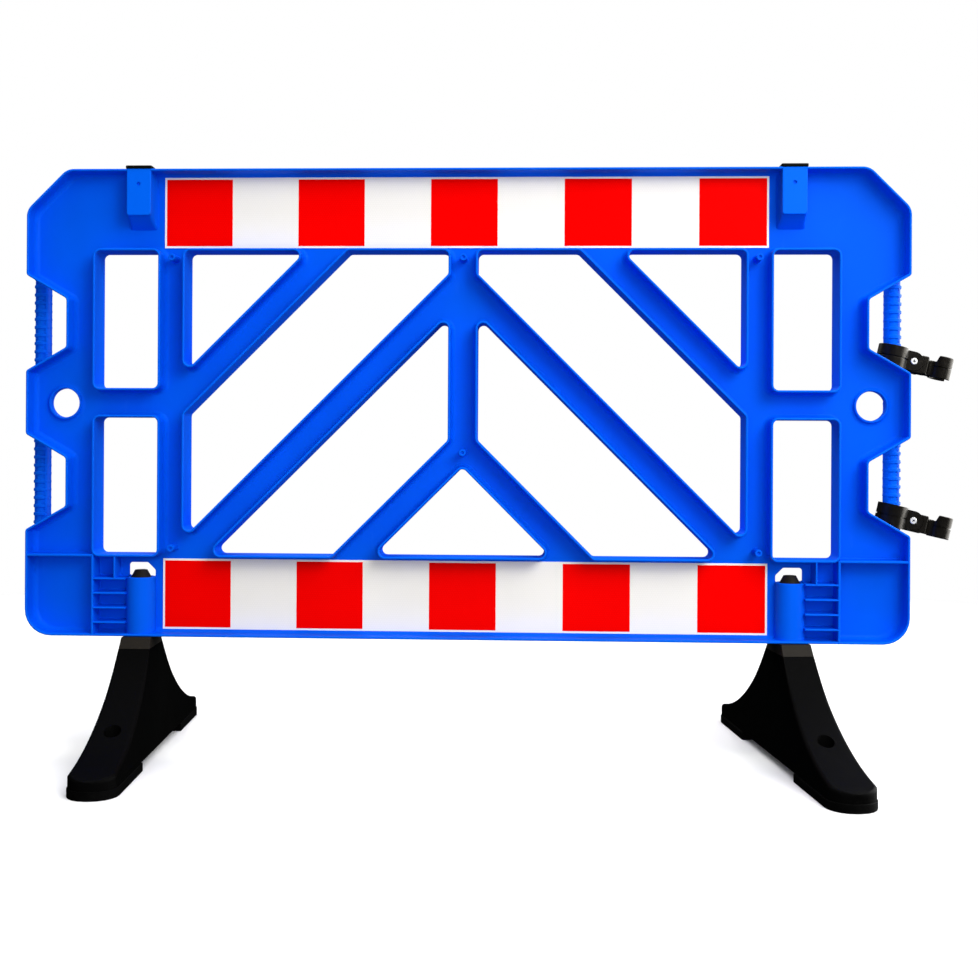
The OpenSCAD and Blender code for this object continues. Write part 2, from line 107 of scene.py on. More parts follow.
def arc(centre, radius, start, end, count):
    """Points on a circle, or on an ellipse with two radii, from one angle to another in degrees."""
    a = np.radians(np.linspace(start, end, count))
    return np.asarray(centre) + np.stack((np.cos(a), np.sin(a)), 1) * radius


def circle(centre, radius, count):
    """Points spaced evenly round a whole circle."""
    return arc(centre, radius, 0, 360 - 360 / count, count)


CORNER_STEPS, LEAST_R = 8, 0.4


def rounded_loop(corners, inset, steps=CORNER_STEPS):
    """Closed outline of corners (x, z, radius), anticlockwise, moved inset to the left of its way: neighbouring
    sides meet at their mitre, and each corner is an arc that touches both sides. A left turn's radius shrinks by
    the inset and a right turn's grows by it. A corner with no turn gives one point."""
    c = np.asarray(corners, float)
    xz, radius = c[:, :2], c[:, 2]
    way = np.roll(xz, -1, 0) - xz
    way /= np.linalg.norm(way, axis=1)[:, None]
    leave = np.stack((-way[:, 1], way[:, 0]), 1)
    arrive = np.roll(leave, 1, 0)
    dot = (arrive * leave).sum(1)
    turn = np.arctan2(arrive[:, 0] * leave[:, 1] - arrive[:, 1] * leave[:, 0], dot)
    side = np.where(np.abs(turn) < 1e-6, 0, np.sign(turn))
    radius = np.maximum(radius - side * inset, LEAST_R)
    centre = xz + (arrive + leave) / (1 + dot)[:, None] * (inset + side * radius)[:, None]
    a = turn[:, None] * np.linspace(0, 1, steps)
    normal = np.stack(
        (
            arrive[:, :1] * np.cos(a) - arrive[:, 1:] * np.sin(a),
            arrive[:, :1] * np.sin(a) + arrive[:, 1:] * np.cos(a),
        ),
        -1,
    )
    points = centre[:, None] - (side * radius)[:, None, None] * normal
    keep = (side != 0)[:, None] | (np.arange(steps) == 0)
    return points[keep]


def mirrored(corners):
    """The same outline on the other side of the middle, still anticlockwise."""
    return [(-x, z, r) for x, z, r in reversed(corners)]


FRONT, BACK = -27.5, 27.5
WEB_FRONT, WEB_BACK = 7.5, 11.5
RIM_T, LIP_R = 4.0, 1.8
COVE_FRONT, COVE_BACK = (8.0, 14.0), (6.0, 10.0)
WEB_EDGE = RIM_T + COVE_FRONT[0]

# Cross-section of the rim as (distance from the edge, y): cove, lip, outer wall, lip, cove
rim_profile = np.concatenate(
    (
        arc((WEB_EDGE, WEB_FRONT - COVE_FRONT[1]), COVE_FRONT, 90, 180, 10),
        arc((RIM_T - LIP_R, FRONT + LIP_R), LIP_R, 0, -90, 5),
        arc((LIP_R, FRONT + LIP_R), LIP_R, -90, -180, 5),
        arc((LIP_R, BACK - LIP_R), LIP_R, 180, 90, 5),
        arc((RIM_T - LIP_R, BACK - LIP_R), LIP_R, 90, 0, 5),
        arc((RIM_T + COVE_BACK[0], WEB_BACK + COVE_BACK[1]), COVE_BACK, 180, 270, 7),
        [(WEB_EDGE, WEB_BACK)],
    )
)


def carry(shell, profile, outline, rear=None):
    """Cross-section carried round an outline: each of its points draws the outline at that point's distance from
    the edge and at that point's y. rear scales how far the section stands behind the web along the outline.
    Returns the outline where the section starts on the web."""
    rows = np.array([outline(inset) for inset in profile[:, 0]])
    y = np.repeat(profile[:, 1:], rows.shape[1], 1)
    if rear is not None:
        y = np.where(y > WEB_BACK, WEB_BACK + (y - WEB_BACK) * rear, y)
    shell.grid(np.stack((rows[..., 0], y, rows[..., 1]), -1))
    return rows[0]


# Right half of the outline from the bottom corner up, as (x, z, radius, rim behind the web). The rim behind the web
# stops beside the notches, where the clips hang.
PANEL_Z, PANEL_TOP, PANEL_MID, END_X = 200, 1000, 600, 750
BOTTOM_R, TOP_CUT, TOP_R = 45, 70, 28
NOTCH_X, NOTCH_R, NOTCH_HALF, NOTCH_IN_HALF, RELIEF_HALF = 680.5, 7, 81.9, 41.6, 111.7
NOTCH_RISE = 136.5
LOW_NOTCH_Z, HIGH_NOTCH_Z = PANEL_MID - NOTCH_RISE, PANEL_MID + NOTCH_RISE


def notch_side(z):
    """The outline past a notch whose middle is at z, from below it to above it."""
    half = [
        (END_X, RELIEF_HALF + 1, 0, 1), (END_X, RELIEF_HALF, 0, 0),
        (END_X, NOTCH_HALF, NOTCH_R, 0), (NOTCH_X, NOTCH_IN_HALF, NOTCH_R, 0),
    ]
    return [(x, z - d, r, k) for x, d, r, k in half] + [(x, z + d, r, k) for x, d, r, k in reversed(half)]


half_outline = [
    (END_X, PANEL_Z, BOTTOM_R, 1), *notch_side(LOW_NOTCH_Z), *notch_side(HIGH_NOTCH_Z),
    (END_X, PANEL_TOP - TOP_CUT, TOP_R, 1), (END_X - TOP_CUT, PANEL_TOP, TOP_R, 1),
]
full_outline = half_outline + [(-x, z, r, k) for x, z, r, k in reversed(half_outline)]
outline_corners = [(x, z, r) for x, z, r, _ in full_outline]
outline_rear = np.concatenate([[k] * (CORNER_STEPS if r else 1) for _, _, r, k in full_outline])

# Windows, each as the corners of its edge. The braces slope at 45 degrees, so x and z add up to one number along the
# middle of each.
WINDOW_R, FIELD_Z, FIELD_TOP = 9, 340, 860
SIDE_IN, SIDE_OUT, SIDE_RAIL_HALF, POST_IN, MID_POST_HALF = 522, 631, 25, 476, 25
BRACE_LOW, BRACE_MID, BRACE_HIGH, BRACE_HALF = 528, 810, 1092, 35.36


def window_edge(*corners):
    """Corners (x, z) with the windows' one radius."""
    return [(x, z, WINDOW_R) for x, z in corners]


side_windows = [
    window_edge((SIDE_IN, z0), (SIDE_OUT, z0), (SIDE_OUT, z1), (SIDE_IN, z1))
    for z0, z1 in ((FIELD_Z, PANEL_MID - SIDE_RAIL_HALF), (PANEL_MID + SIDE_RAIL_HALF, FIELD_TOP))
]
lattice_windows = [
    window_edge(
        (POST_IN, BRACE_HIGH + BRACE_HALF - POST_IN),
        (POST_IN, FIELD_TOP),
        (BRACE_HIGH + BRACE_HALF - FIELD_TOP, FIELD_TOP),
    ),
    window_edge(
        (MID_POST_HALF, BRACE_MID + BRACE_HALF - MID_POST_HALF),
        (POST_IN, BRACE_MID + BRACE_HALF - POST_IN),
        (POST_IN, BRACE_HIGH - BRACE_HALF - POST_IN),
        (BRACE_HIGH - BRACE_HALF - FIELD_TOP, FIELD_TOP),
        (MID_POST_HALF, FIELD_TOP),
    ),
    window_edge(
        (MID_POST_HALF, BRACE_LOW + BRACE_HALF - MID_POST_HALF),
        (BRACE_LOW + BRACE_HALF - FIELD_Z, FIELD_Z),
        (BRACE_MID - BRACE_HALF - FIELD_Z, FIELD_Z),
        (MID_POST_HALF, BRACE_MID - BRACE_HALF - MID_POST_HALF),
    ),
]
FORK_HALF = BRACE_LOW - BRACE_HALF - FIELD_Z
fork_window = window_edge((-FORK_HALF, FIELD_Z), (FORK_HALF, FIELD_Z), (0, FIELD_Z + FORK_HALF))
right_windows = side_windows + lattice_windows
all_windows = right_windows + [mirrored(w) for w in right_windows] + [fork_window]

panel_shell = Shell()
web_loops = [carry(panel_shell, rim_profile, lambda d: rounded_loop(outline_corners, d), outline_rear)]
for window in all_windows:
    web_loops.append(carry(panel_shell, rim_profile, lambda d: rounded_loop(window, -d)))

# Hand holes, each with a low collar on both faces
HAND_X, HAND_R, COLLAR_T, COLLAR_RISE, COLLAR_COVE = 692, 25, 4.2, 6, (7.0, 4.0)
hand_profile = np.concatenate(
    (
        arc((COLLAR_T + COLLAR_COVE[0], WEB_FRONT - COLLAR_COVE[1]), COLLAR_COVE, 90, 180, 8),
        arc((COLLAR_T - LIP_R, WEB_FRONT - COLLAR_RISE + LIP_R), LIP_R, 0, -90, 4),
        arc((LIP_R, WEB_FRONT - COLLAR_RISE + LIP_R), LIP_R, -90, -180, 4),
        arc((LIP_R, WEB_BACK + COLLAR_RISE - LIP_R), LIP_R, 180, 90, 4),
        arc((COLLAR_T - LIP_R, WEB_BACK + COLLAR_RISE - LIP_R), LIP_R, 90, 0, 4),
        arc((COLLAR_T + COLLAR_COVE[0], WEB_BACK + COLLAR_COVE[1]), COLLAR_COVE, 180, 270, 8),
    )
)
for side in (-1, 1):
    web_loops.append(
        carry(panel_shell, hand_profile, lambda d: circle((side * HAND_X, PANEL_MID), HAND_R + d, 60))
    )

# Small windows over the foot sockets, where the tips of the spigots show, with a plain softened edge
tip_window = [(533.5, 300, 2), (578.5, 300, 2), (578.5, 324, 5), (546.5, 324, 5), (533.5, 311, 5)]
tip_profile = np.array(
    [(1.5, WEB_FRONT), (0.5, WEB_FRONT + 0.4), (0, WEB_FRONT + 1.4),
     (0, WEB_BACK - 1.4), (0.5, WEB_BACK - 0.4), (1.5, WEB_BACK)]
)
for window in (tip_window, mirrored(tip_window)):
    web_loops.append(carry(panel_shell, tip_profile, lambda d: rounded_loop(window, -d)))


def web_sheet(loops):
    """Triangles of the flat web between the rims: a Delaunay triangulation of all the loops, less the triangles
    whose middle has an even number of loop sides on its right."""
    points = np.concatenate(loops)
    ends = np.cumsum([len(loop) for loop in loops])
    following = np.arange(1, len(points) + 1)
    following[ends - 1] = ends - [len(loop) for loop in loops]
    edges = np.stack((np.arange(len(points)), following), 1).tolist()
    flat, _, faces, *_ = delaunay_2d_cdt([Vector(p) for p in points.tolist()], edges, [], 0, 1e-7)
    flat, faces = np.array([tuple(p) for p in flat]), np.array(faces)
    x, z = flat[faces].mean(1).T[:, :, None]
    a, b = points, points[following]
    crosses = (a[:, 1] > z) != (b[:, 1] > z)
    rise = np.where(b[:, 1] == a[:, 1], 1, b[:, 1] - a[:, 1])
    at = a[:, 0] + (z - a[:, 1]) * (b[:, 0] - a[:, 0]) / rise
    return flat, faces[(crosses & (at > x)).sum(1) % 2 == 1]


sheet_points, sheet_faces = web_sheet(web_loops)
for y in (WEB_FRONT, WEB_BACK):
    panel_shell.patch(np.insert(sheet_points, 1, y, 1), sheet_faces)
panel = panel_shell.piece("panel_moulding")


def cut_away(piece, cutter):
    """Takes the cutter's volume out of a piece and deletes the cutter."""
    cut = piece.modifiers.new("cut", "BOOLEAN")
    cut.operation, cut.solver, cut.object = "DIFFERENCE", "EXACT", cutter
    piece.modifiers.move(len(piece.modifiers) - 1, 0)
    piece.modifiers.remove(piece.modifiers["broad_faces_flat"])
    cutter.modifiers.clear()
    cut_mesh = bpy.data.meshes.new_from_object(piece.evaluated_get(bpy.context.evaluated_depsgraph_get()))
    piece.modifiers.clear()
    piece.data = cut_mesh
    bpy.data.objects.remove(cutter)
    return even_shading(piece, CREASE)


def ring_stack(radius_and_z, x, y, count=64):
    """Surface of revolution about an upright axis: each (radius, z) draws a circle round the axis."""
    profile = np.asarray(radius_and_z, float)
    a = np.linspace(0, 2 * np.pi, count, endpoint=False)
    return np.stack(
        (
            x + profile[:, :1] * np.cos(a),
            y + profile[:, :1] * np.sin(a),
            np.repeat(profile[:, 1:], count, 1),
        ),
        -1,
    )


def block(x, y, z):
    """Rings of a rectangular block, from its bottom to its top."""
    plan = np.array([(x[0], y[0]), (x[1], y[0]), (x[1], y[1]), (x[0], y[1])], float)
    return np.array([np.insert(plan, 2, level, 1) for level in z])


# Openings for the spigots in the bottom of the rim, and for the lamps in its top
SOCKET_X, SPIGOT_HOLE_R, SPIGOT_CUT = 556, 18.9, (190, 206)
LAMP_Y, LAMP_IN_X, LAMP_IN_Y, LAMP_CUT = -10, 17, 13.5, (990, 1010)
opening_cutter = Shell()
for x in (-SOCKET_X, SOCKET_X):
    opening_cutter.tube(ring_stack([(SPIGOT_HOLE_R, z) for z in SPIGOT_CUT], x, 0))
    opening_cutter.tube(
        block((x - LAMP_IN_X, x + LAMP_IN_X), (LAMP_Y - LAMP_IN_Y, LAMP_Y + LAMP_IN_Y), LAMP_CUT)
    )
cut_away(panel, opening_cutter.piece("panel_cutter"))


class Wire:
    """A shader socket that can be used in arithmetic: each operator adds a Math node to its tree."""

    def __init__(self, tree, socket=None):
        self.tree, self.socket = tree, socket

    def node(self, kind, settings=None, sockets=None, out=0):
        """Adds a node, sets its settings first, then fills its sockets with values or links."""
        made = self.tree.nodes.new(kind)
        for name, value in (settings or {}).items():
            setattr(made, name, value)
        for key, value in (sockets or {}).items():
            if isinstance(value, Wire):
                self.tree.links.new(value.socket, made.inputs[key])
            else:
                made.inputs[key].default_value = value
        return Wire(self.tree, made.outputs[out])

    def math(self, operation, *values):
        """A Math node on the values, which may be numbers or wires."""
        return self.node("ShaderNodeMath", {"operation": operation}, dict(enumerate(values)))

    def __add__(self, other):
        return self.math("ADD", self, other)

    def __sub__(self, other):
        return self.math("SUBTRACT", self, other)

    def __rsub__(self, other):
        return self.math("SUBTRACT", other, self)

    def __mul__(self, other):
        return self.math("MULTIPLY", self, other)

    def __truediv__(self, other):
        return self.math("DIVIDE", self, other)

    __radd__, __rmul__ = __add__, __mul__

    def ramp(self, low, high):
        """0 below low, 1 above high, with an even climb between."""
        return self.node("ShaderNodeMapRange", {"clamp": True}, {0: self, 1: low, 2: high, 3: 0.0, 4: 1.0})

    def mix(self, first, second):
        """Colour that goes from first at 0 to second at 1."""
        return self.node("ShaderNodeMix", {"data_type": "RGBA"}, {0: self, 6: first, 7: second}, 2)

    def noise(self, scale, detail=2.0, stretch=None):
        """Noise of so many lumps a metre, stretched along the axes if asked."""
        place = self
        if stretch:
            place = self.node("ShaderNodeMapping", {}, {"Vector": self, "Scale": stretch})
        return self.node("ShaderNodeTexNoise", {}, {"Vector": place, "Scale": scale, "Detail": detail})

    def bump(self, strength, distance):
        """Normals of a surface raised by this height, by so many metres at most."""
        return self.node("ShaderNodeBump", {}, {"Strength": strength, "Distance": distance, "Height": self})


def new_finish(name, **constants):
    """A material with its shader's constant sockets set. Returns it, the place on the object as a wire, and a
    function that feeds a wire into one of the shader's sockets."""
    finish = bpy.data.materials.new(name)
    finish.use_nodes = True
    tree = finish.node_tree
    shader = tree.nodes["Principled BSDF"]
    for key, value in constants.items():
        shader.inputs[key.replace("_", " ")].default_value = value
    place = Wire(tree).node("ShaderNodeTexCoord", out=3)
    return finish, place, lambda key, wire: tree.links.new(wire.socket, shader.inputs[key])


def dress(piece, finish):
    """Gives a piece one material all over."""
    piece.data.materials.clear()
    piece.data.materials.append(finish)
    return piece


# Blue polyethylene: slightly uneven in depth of colour, with a fine moulded grain, slow waves in its surface and a few
# dull scuffs. The lips are smoother and paler, partly as rubbed wear and partly as a painted highlight on their front
# faces.
BLUE, BLUE_DEEP = (0.0, 0.106, 0.84, 1), (0.0, 0.094, 0.76, 1)
# The paler lip colour is partly wear and partly a painted highlight.
BLUE_WORN_AND_HIGHLIT, BLUE_SCUFFED = (0.0, 0.145, 0.92, 1), (0.03, 0.18, 0.88, 1)
LIP_FROM, LIP_TO = 0.0250, 0.0277
blue_plastic, place, feed = new_finish("moulded_blue_plastic", Specular_IOR_Level=0.025)
flow = place.noise(7.0, 3.0, (1.0, 1.0, 0.45))
grain = place.noise(800.0, 2.0)
waves = place.noise(22.0, 1.0)
scuffs = place.noise(90.0, 4.0, (1.0, 1.0, 0.16)).ramp(0.66, 0.74)
depth = place.node("ShaderNodeSeparateXYZ", {}, {0: place}, 1)
lips = depth.math("ABSOLUTE", depth).ramp(LIP_FROM, LIP_TO)
body = flow.ramp(0.35, 0.7).mix(BLUE, BLUE_DEEP)
# Lips made paler on their front faces: partly rubbed wear, partly a painted highlight.
lip_wear_and_highlight = (lips * (0.2 + 0.5 * flow)).mix(body, BLUE_WORN_AND_HIGHLIT)
feed("Base Color", (scuffs * 0.08).mix(lip_wear_and_highlight, BLUE_SCUFFED))
feed("Roughness", 0.42 + 0.10 * flow + 0.16 * scuffs - 0.06 * lips)
feed("Normal", (grain * 0.07 + waves).bump(0.22, 0.0016))
dress(panel, blue_plastic)
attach(panel, "panel")
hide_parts("barrier_panel")


def panel_piece(shell, name, crease=CREASE):
    """A feature of the moulding: blue, and on the panel's body."""
    made = dress(shell.piece(name, crease), blue_plastic)
    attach(made, "panel")
    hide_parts("barrier_panel")
    return made


# Foot sockets: upright tubes of the same blue polyethylene, moulded in one with the bottom rail and open at both
# ends. The spigot of a foot pushes up into each and turns in it.
TUBE_R, BORE_R, TUBE_Z, TUBE_TOP, TUBE_EDGE = 25.0, 18.3, 200.6, 300.0, 1.6
tube_section = np.concatenate(
    (
        [(BORE_R, TUBE_Z), (TUBE_R, TUBE_Z)],
        arc((TUBE_R - TUBE_EDGE, TUBE_TOP - TUBE_EDGE), TUBE_EDGE, 0, 90, 5),
        arc((BORE_R + TUBE_EDGE, TUBE_TOP - TUBE_EDGE), TUBE_EDGE, 90, 180, 5),
    )
)
tubes = Shell()
for side in (-1, 1):
    tubes.grid(ring_stack(tube_section, side * SOCKET_X, 0, 96), wrap_rows=True)
panel_piece(tubes, "foot_sockets")

# Corner ribs: thin upright and level ribs of the same moulding, that tie each foot socket to the end of the panel.
# Each stands on both faces of the web with a small flare, and has rounded edges.
RIB_T, RIB_FLARE, RIB_EDGE, RIB_SET = 3.0, 2.5, 1.3, 0.4
POST_RIB_X, POST_RIB_Z, SHELF_Z, SHELF_END = 633, 203, 338, 747
STUB_X, STUB_Z, RUNG_IN, RUNG_LEVELS = 595, 298, 577, (298.5, 273.5, 248.5, 223.5)


def rib_section(thick):
    """Half-width and y round a rib: flat sides, rounded edges and flares where it meets the web's faces."""
    half, r = thick / 2, min(RIB_EDGE, thick / 2 - 0.1)
    right = np.concatenate(
        (
            arc((half - r, FRONT + RIB_SET + r), r, -90, 0, 4),
            arc((half + RIB_FLARE, WEB_FRONT - RIB_FLARE), RIB_FLARE, 180, 90, 4),
            arc((half + RIB_FLARE, WEB_BACK + RIB_FLARE), RIB_FLARE, -90, -180, 4),
            arc((half - r, BACK - RIB_SET - r), r, 0, 90, 4),
        )
    )
    return np.concatenate((right, right[::-1] * (-1, 1)))


def rib(shell, start, end, thick):
    """A rib's section carried straight from start to end, both (x, z); its half-width lies across the way."""
    a, b = np.array(start, float), np.array(end, float)
    way = (b - a) / np.linalg.norm(b - a)
    across = np.array((-way[1], way[0]))
    section = rib_section(thick)
    rings = [
        np.stack((p[0] + section[:, 0] * across[0], section[:, 1], p[1] + section[:, 0] * across[1]), 1)
        for p in (a, b)
    ]
    shell.tube(rings)


corner_ribs = Shell()
for side in (-1, 1):
    rib(corner_ribs, (side * POST_RIB_X, POST_RIB_Z), (side * POST_RIB_X, FIELD_Z), RIM_T)
    rib(corner_ribs, (side * POST_RIB_X, SHELF_Z), (side * SHELF_END, SHELF_Z), RIM_T)
    rib(corner_ribs, (side * STUB_X, STUB_Z), (side * STUB_X, SHELF_Z), RIB_T)
    for z in RUNG_LEVELS:
        rib(corner_ribs, (side * RUNG_IN, z), (side * POST_RIB_X, z), RIB_T)
panel_piece(corner_ribs, "corner_ribs")

# Lamp sockets: hollow boxes moulded under the top rail, open at the top, with a screw hole in front and a sloping
# foot that runs out into the web.
LAMP_HALF, LAMP_TOP, LAMP_BOTTOM, LAMP_FLOOR = 21.0, 999.0, 920.0, 924
LAMP_SLOPE, LAMP_SPREAD, LAMP_STRAIGHT, LAMP_EDGE, LAMP_CORNER = 20.0, 3.5, 5, 2.0, 5
LAMP_HOLE_Z, LAMP_HOLE_R = 974, 3.25


def lamp_loop(x, y, inset, drop, spread):
    """Rounded rectangle of the socket at one depth, lowered by drop at its foot and widened by spread."""
    w, low = LAMP_HALF + spread, LAMP_BOTTOM - drop
    corners = [(x - w, low, LAMP_CORNER), (x + w, low, LAMP_CORNER), (x + w, LAMP_TOP, 1), (x - w, LAMP_TOP, 1)]
    return np.insert(rounded_loop(corners, inset), 1, y, 1)


lamp_sockets, lamp_cutter = Shell(), Shell()
lamp_front = FRONT + LAMP_STRAIGHT
for x in (-SOCKET_X, SOCKET_X):
    edge = arc((LAMP_EDGE, FRONT + LAMP_EDGE), LAMP_EDGE, -90, -180, 5)
    rings = [lamp_loop(x, y, inset, 0, 0) for inset, y in edge]
    rings += [
        lamp_loop(x, lamp_front + (WEB_FRONT - lamp_front) * t, 0, LAMP_SLOPE * t, LAMP_SPREAD * t ** 3)
        for t in np.linspace(0, 1, 7)
    ]
    rings.append(lamp_loop(x, WEB_FRONT + 2, 0, LAMP_SLOPE, LAMP_SPREAD))
    lamp_sockets.tube(rings)
    lamp_cutter.tube(
        block((x - LAMP_IN_X, x + LAMP_IN_X), (LAMP_Y - LAMP_IN_Y, LAMP_Y + LAMP_IN_Y), (LAMP_FLOOR, LAMP_CUT[1]))
    )
    hole = circle((x, LAMP_HOLE_Z), LAMP_HOLE_R, 24)
    lamp_cutter.tube([np.insert(hole, 1, y, 1) for y in (FRONT - 5, FRONT + 10)])
cut_away(panel_piece(lamp_sockets, "lamp_sockets"), lamp_cutter.piece("lamp_cutter"))

# Connector bars: ribbed rods moulded behind the ends of the panel, that clips hold. Each is carried by three brackets
# and has a smooth flange along the side that faces the panel, and a narrow ridge in front.
LEFT_BAR_X, RIGHT_BAR_X, BAR_Y, BAR_R, BAR_RIB, BAR_PITCH, BAR_COUNT = -746.0, 738.0, 41.895, 15.0, 2.3, 14.3, 36
FLANGE, RIDGE, STRIP_SET, BRACKET_W, BRACKET_IN = (125, 235), (-60, -45), 0.3, 12, 2
bar_low, bar_high = PANEL_MID - BAR_PITCH * BAR_COUNT / 2, PANEL_MID + BAR_PITCH * BAR_COUNT / 2
# One rib of the bar as (share of the rib's height, share of the pitch)
rib_wave = np.array(
    [(0, 0.06), (0.12, 0.12), (0.6, 0.17), (1, 0.24), (1, 0.5), (0.6, 0.57), (0.12, 0.62), (0, 0.68)]
)
bar_profile = np.concatenate(
    (
        [(BAR_R - BAR_RIB - 1, bar_low)],
        np.stack(
            (
                np.tile(BAR_R - BAR_RIB + BAR_RIB * rib_wave[:, 0], BAR_COUNT),
                (bar_low + BAR_PITCH * (np.arange(BAR_COUNT)[:, None] + rib_wave[:, 1])).ravel(),
            ),
            1,
        ),
        [(BAR_R - BAR_RIB - 1, bar_high)],
    )
)


def upright_bar(shell, centre, size, z, r=1.2):
    """A bar of rounded rectangular plan, centre and size in x and y, from the first level of z to the last."""
    (x, y), (w, d) = centre, (size[0] / 2, size[1] / 2)
    plan = rounded_loop([(x - w, y - d, r), (x + w, y - d, r), (x + w, y + d, r), (x - w, y + d, r)], 0, 5)
    shell.tube([np.insert(plan, 2, level, 1) for level in z])


def bar_strip(shell, x, angles, side):
    """A smooth strip along a bar, as high as its ribs: the piece of the bar's circle between two angles, in
    degrees from the outer side, closed by a straight back."""
    edge = arc((0, 0), BAR_R - STRIP_SET, *angles, 14)
    plan = np.stack((x + side * edge[:, 0], BAR_Y + edge[:, 1]), 1)
    shell.tube([np.insert(plan, 2, level, 1) for level in (bar_low + 0.5, bar_high - 0.5)])


bars = Shell()
bracket_front = WEB_FRONT + BRACKET_IN
for side, bar_x in ((-1, LEFT_BAR_X), (1, RIGHT_BAR_X)):
    bars.tube(ring_stack(bar_profile, bar_x, BAR_Y, 48))
    bar_strip(bars, bar_x, FLANGE, side)
    bar_strip(bars, bar_x, RIDGE, side)
    for z in (
        (bar_low, LOW_NOTCH_Z - RELIEF_HALF),
        (LOW_NOTCH_Z + RELIEF_HALF, HIGH_NOTCH_Z - RELIEF_HALF),
        (HIGH_NOTCH_Z + RELIEF_HALF, bar_high),
    ):
        upright_bar(bars, (bar_x, (bracket_front + BAR_Y) / 2), (BRACKET_W, BAR_Y - bracket_front), z)
panel_piece(bars, "connector_bars", 40.0)

# Pegs: round bosses of the same moulding, hollow at the end. They stand on the web at the ends of the posts and under
# the lowest fork, nearly as deep as the rim.
PEG_R, PEG_COVE, PEG_EDGE, PEG_END = 6.0, 2, 0.8, FRONT + 2
PEG_BORE_R, PEG_BORE_EDGE, PEG_BORE_L = 2.8, 0.6, 2.5
PEG_X, PEG_TOP_Z, PEG_LOW_Z, PEG_FORK_Z = 499, 849, 351, 517
peg_profile = np.concatenate(
    (
        [(PEG_R + PEG_COVE, WEB_FRONT + 1)],
        arc((PEG_R + PEG_COVE, WEB_FRONT - PEG_COVE), PEG_COVE, 90, 180, 5),
        arc((PEG_R - PEG_EDGE, PEG_END + PEG_EDGE), PEG_EDGE, 0, -90, 4),
        arc((PEG_BORE_R + PEG_BORE_EDGE, PEG_END + PEG_BORE_EDGE), PEG_BORE_EDGE, -90, -180, 4),
        [(PEG_BORE_R, PEG_END + PEG_BORE_L), (0.3, PEG_END + PEG_BORE_L + 1)],
    )
)
pegs = Shell()
for x, z in (
    (-PEG_X, PEG_TOP_Z), (0, PEG_TOP_Z), (PEG_X, PEG_TOP_Z), (-PEG_X, PEG_LOW_Z), (PEG_X, PEG_LOW_Z), (0, PEG_FORK_Z)
):
    upright = ring_stack(peg_profile, 0, 0, 32)
    pegs.tube(upright[..., [0, 2, 1]] + (x, 0, z))
panel_piece(pegs, "web_pegs")


# Reflective strips: white sheets glued to the web in both rails, on both faces, with red film blocks over them. Both
# are cellular sheeting, so a fine honeycomb of seal lines shows in the surface.
CELL, ROOT_3 = 0.0042, math.sqrt(3)


def sheeting(name, colour, colour_line, gloss):
    """Cellular reflective sheeting: seal lines on a hexagonal lattice of cells, over a faint cloudiness."""
    finish, place, feed = new_finish(name, Specular_IOR_Level=0.01)
    parts = [place.node("ShaderNodeSeparateXYZ", {}, {0: place}, k) for k in (0, 2)]

    def lattice(shift):
        """Distance in cells from the nearest point of a lattice of 1 by the root of 3, measured across the sides
        of a hexagon: the larger of u, and half of u with half the root of 3 times v."""
        u = parts[0] / CELL + shift
        v = parts[1] / (CELL * ROOT_3) + shift
        u = u - u.math("FLOOR", u) - 0.5
        v = (v - v.math("FLOOR", v) - 0.5) * ROOT_3
        u, v = u.math("ABSOLUTE", u), v.math("ABSOLUTE", v)
        return u.math("MAXIMUM", u, 0.5 * u + (ROOT_3 / 2) * v)

    near = parts[0].math("MINIMUM", lattice(0.0), lattice(0.5))
    seal = near.ramp(0.44, 0.49)
    cloud = place.noise(16.0, 3.0)
    tone = (cloud.ramp(0.3, 0.75) * 0.12).mix(colour, colour_line)
    feed("Base Color", (seal * 0.7).mix(tone, colour_line))
    feed("Roughness", gloss + 0.10 * seal + 0.08 * cloud)
    feed("Normal", (1 - seal).bump(0.10, 0.0001))
    return finish


white_sheeting = sheeting("white_reflective_sheeting", (0.955, 0.925, 0.855, 1), (0.82, 0.79, 0.72, 1), 0.30)
red_sheeting = sheeting("red_reflective_film", (0.99, 0.0, 0.0, 1), (0.80, 0.0, 0.0, 1), 0.28)
for rail in ("top", "bottom"):
    for face in ("front", "rear"):
        dress(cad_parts[f"{rail}_{face}_strip"], white_sheeting)
        dress(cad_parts[f"{rail}_{face}_blocks"], red_sheeting)


# Lamp socket plugs: square caps with a hollow stem, moulded in satin black plastic with a fine grain. They push into
# the lamp sockets by hand and pull off upwards.
def soften(node, width, segments=3):
    """Rounds the edges of a solid: its triangles are joined into whole faces, then every sharp edge is rounded."""
    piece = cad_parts[node]
    piece.modifiers.new("join_points", "WELD").merge_threshold = MERGE
    faces = piece.modifiers.new("whole_faces", "DECIMATE")
    faces.decimate_type, faces.angle_limit = "DISSOLVE", math.radians(0.5)
    edges = piece.modifiers.new("round_edges", "BEVEL")
    edges.width, edges.segments, edges.use_clamp_overlap = width * MM, segments, True
    edges.limit_method, edges.angle_limit = "ANGLE", math.radians(35)
    piece.modifiers.new("broad_faces_flat", "WEIGHTED_NORMAL")
    piece.data.shade_smooth()
    return piece


def black_plastic(name, colour, worn, roughness, grain_size, shine, tint=(1, 1, 1, 1)):
    """Moulded black plastic: cloudy depth of colour, dull scuffs, a fine grain, and a shine that may be tinted."""
    finish, place, feed = new_finish(name, Specular_IOR_Level=shine, Specular_Tint=tint)
    cloud, grain = place.noise(45.0, 3.0), place.noise(grain_size, 2.0)
    scuff = place.noise(160.0, 4.0).ramp(0.60, 0.72)
    feed("Base Color", (0.25 * cloud + 0.4 * scuff).mix(colour, worn))
    feed("Roughness", roughness + 0.14 * cloud + 0.10 * scuff)
    feed("Normal", (grain + 0.6 * cloud).bump(0.25, 0.0004))
    return finish


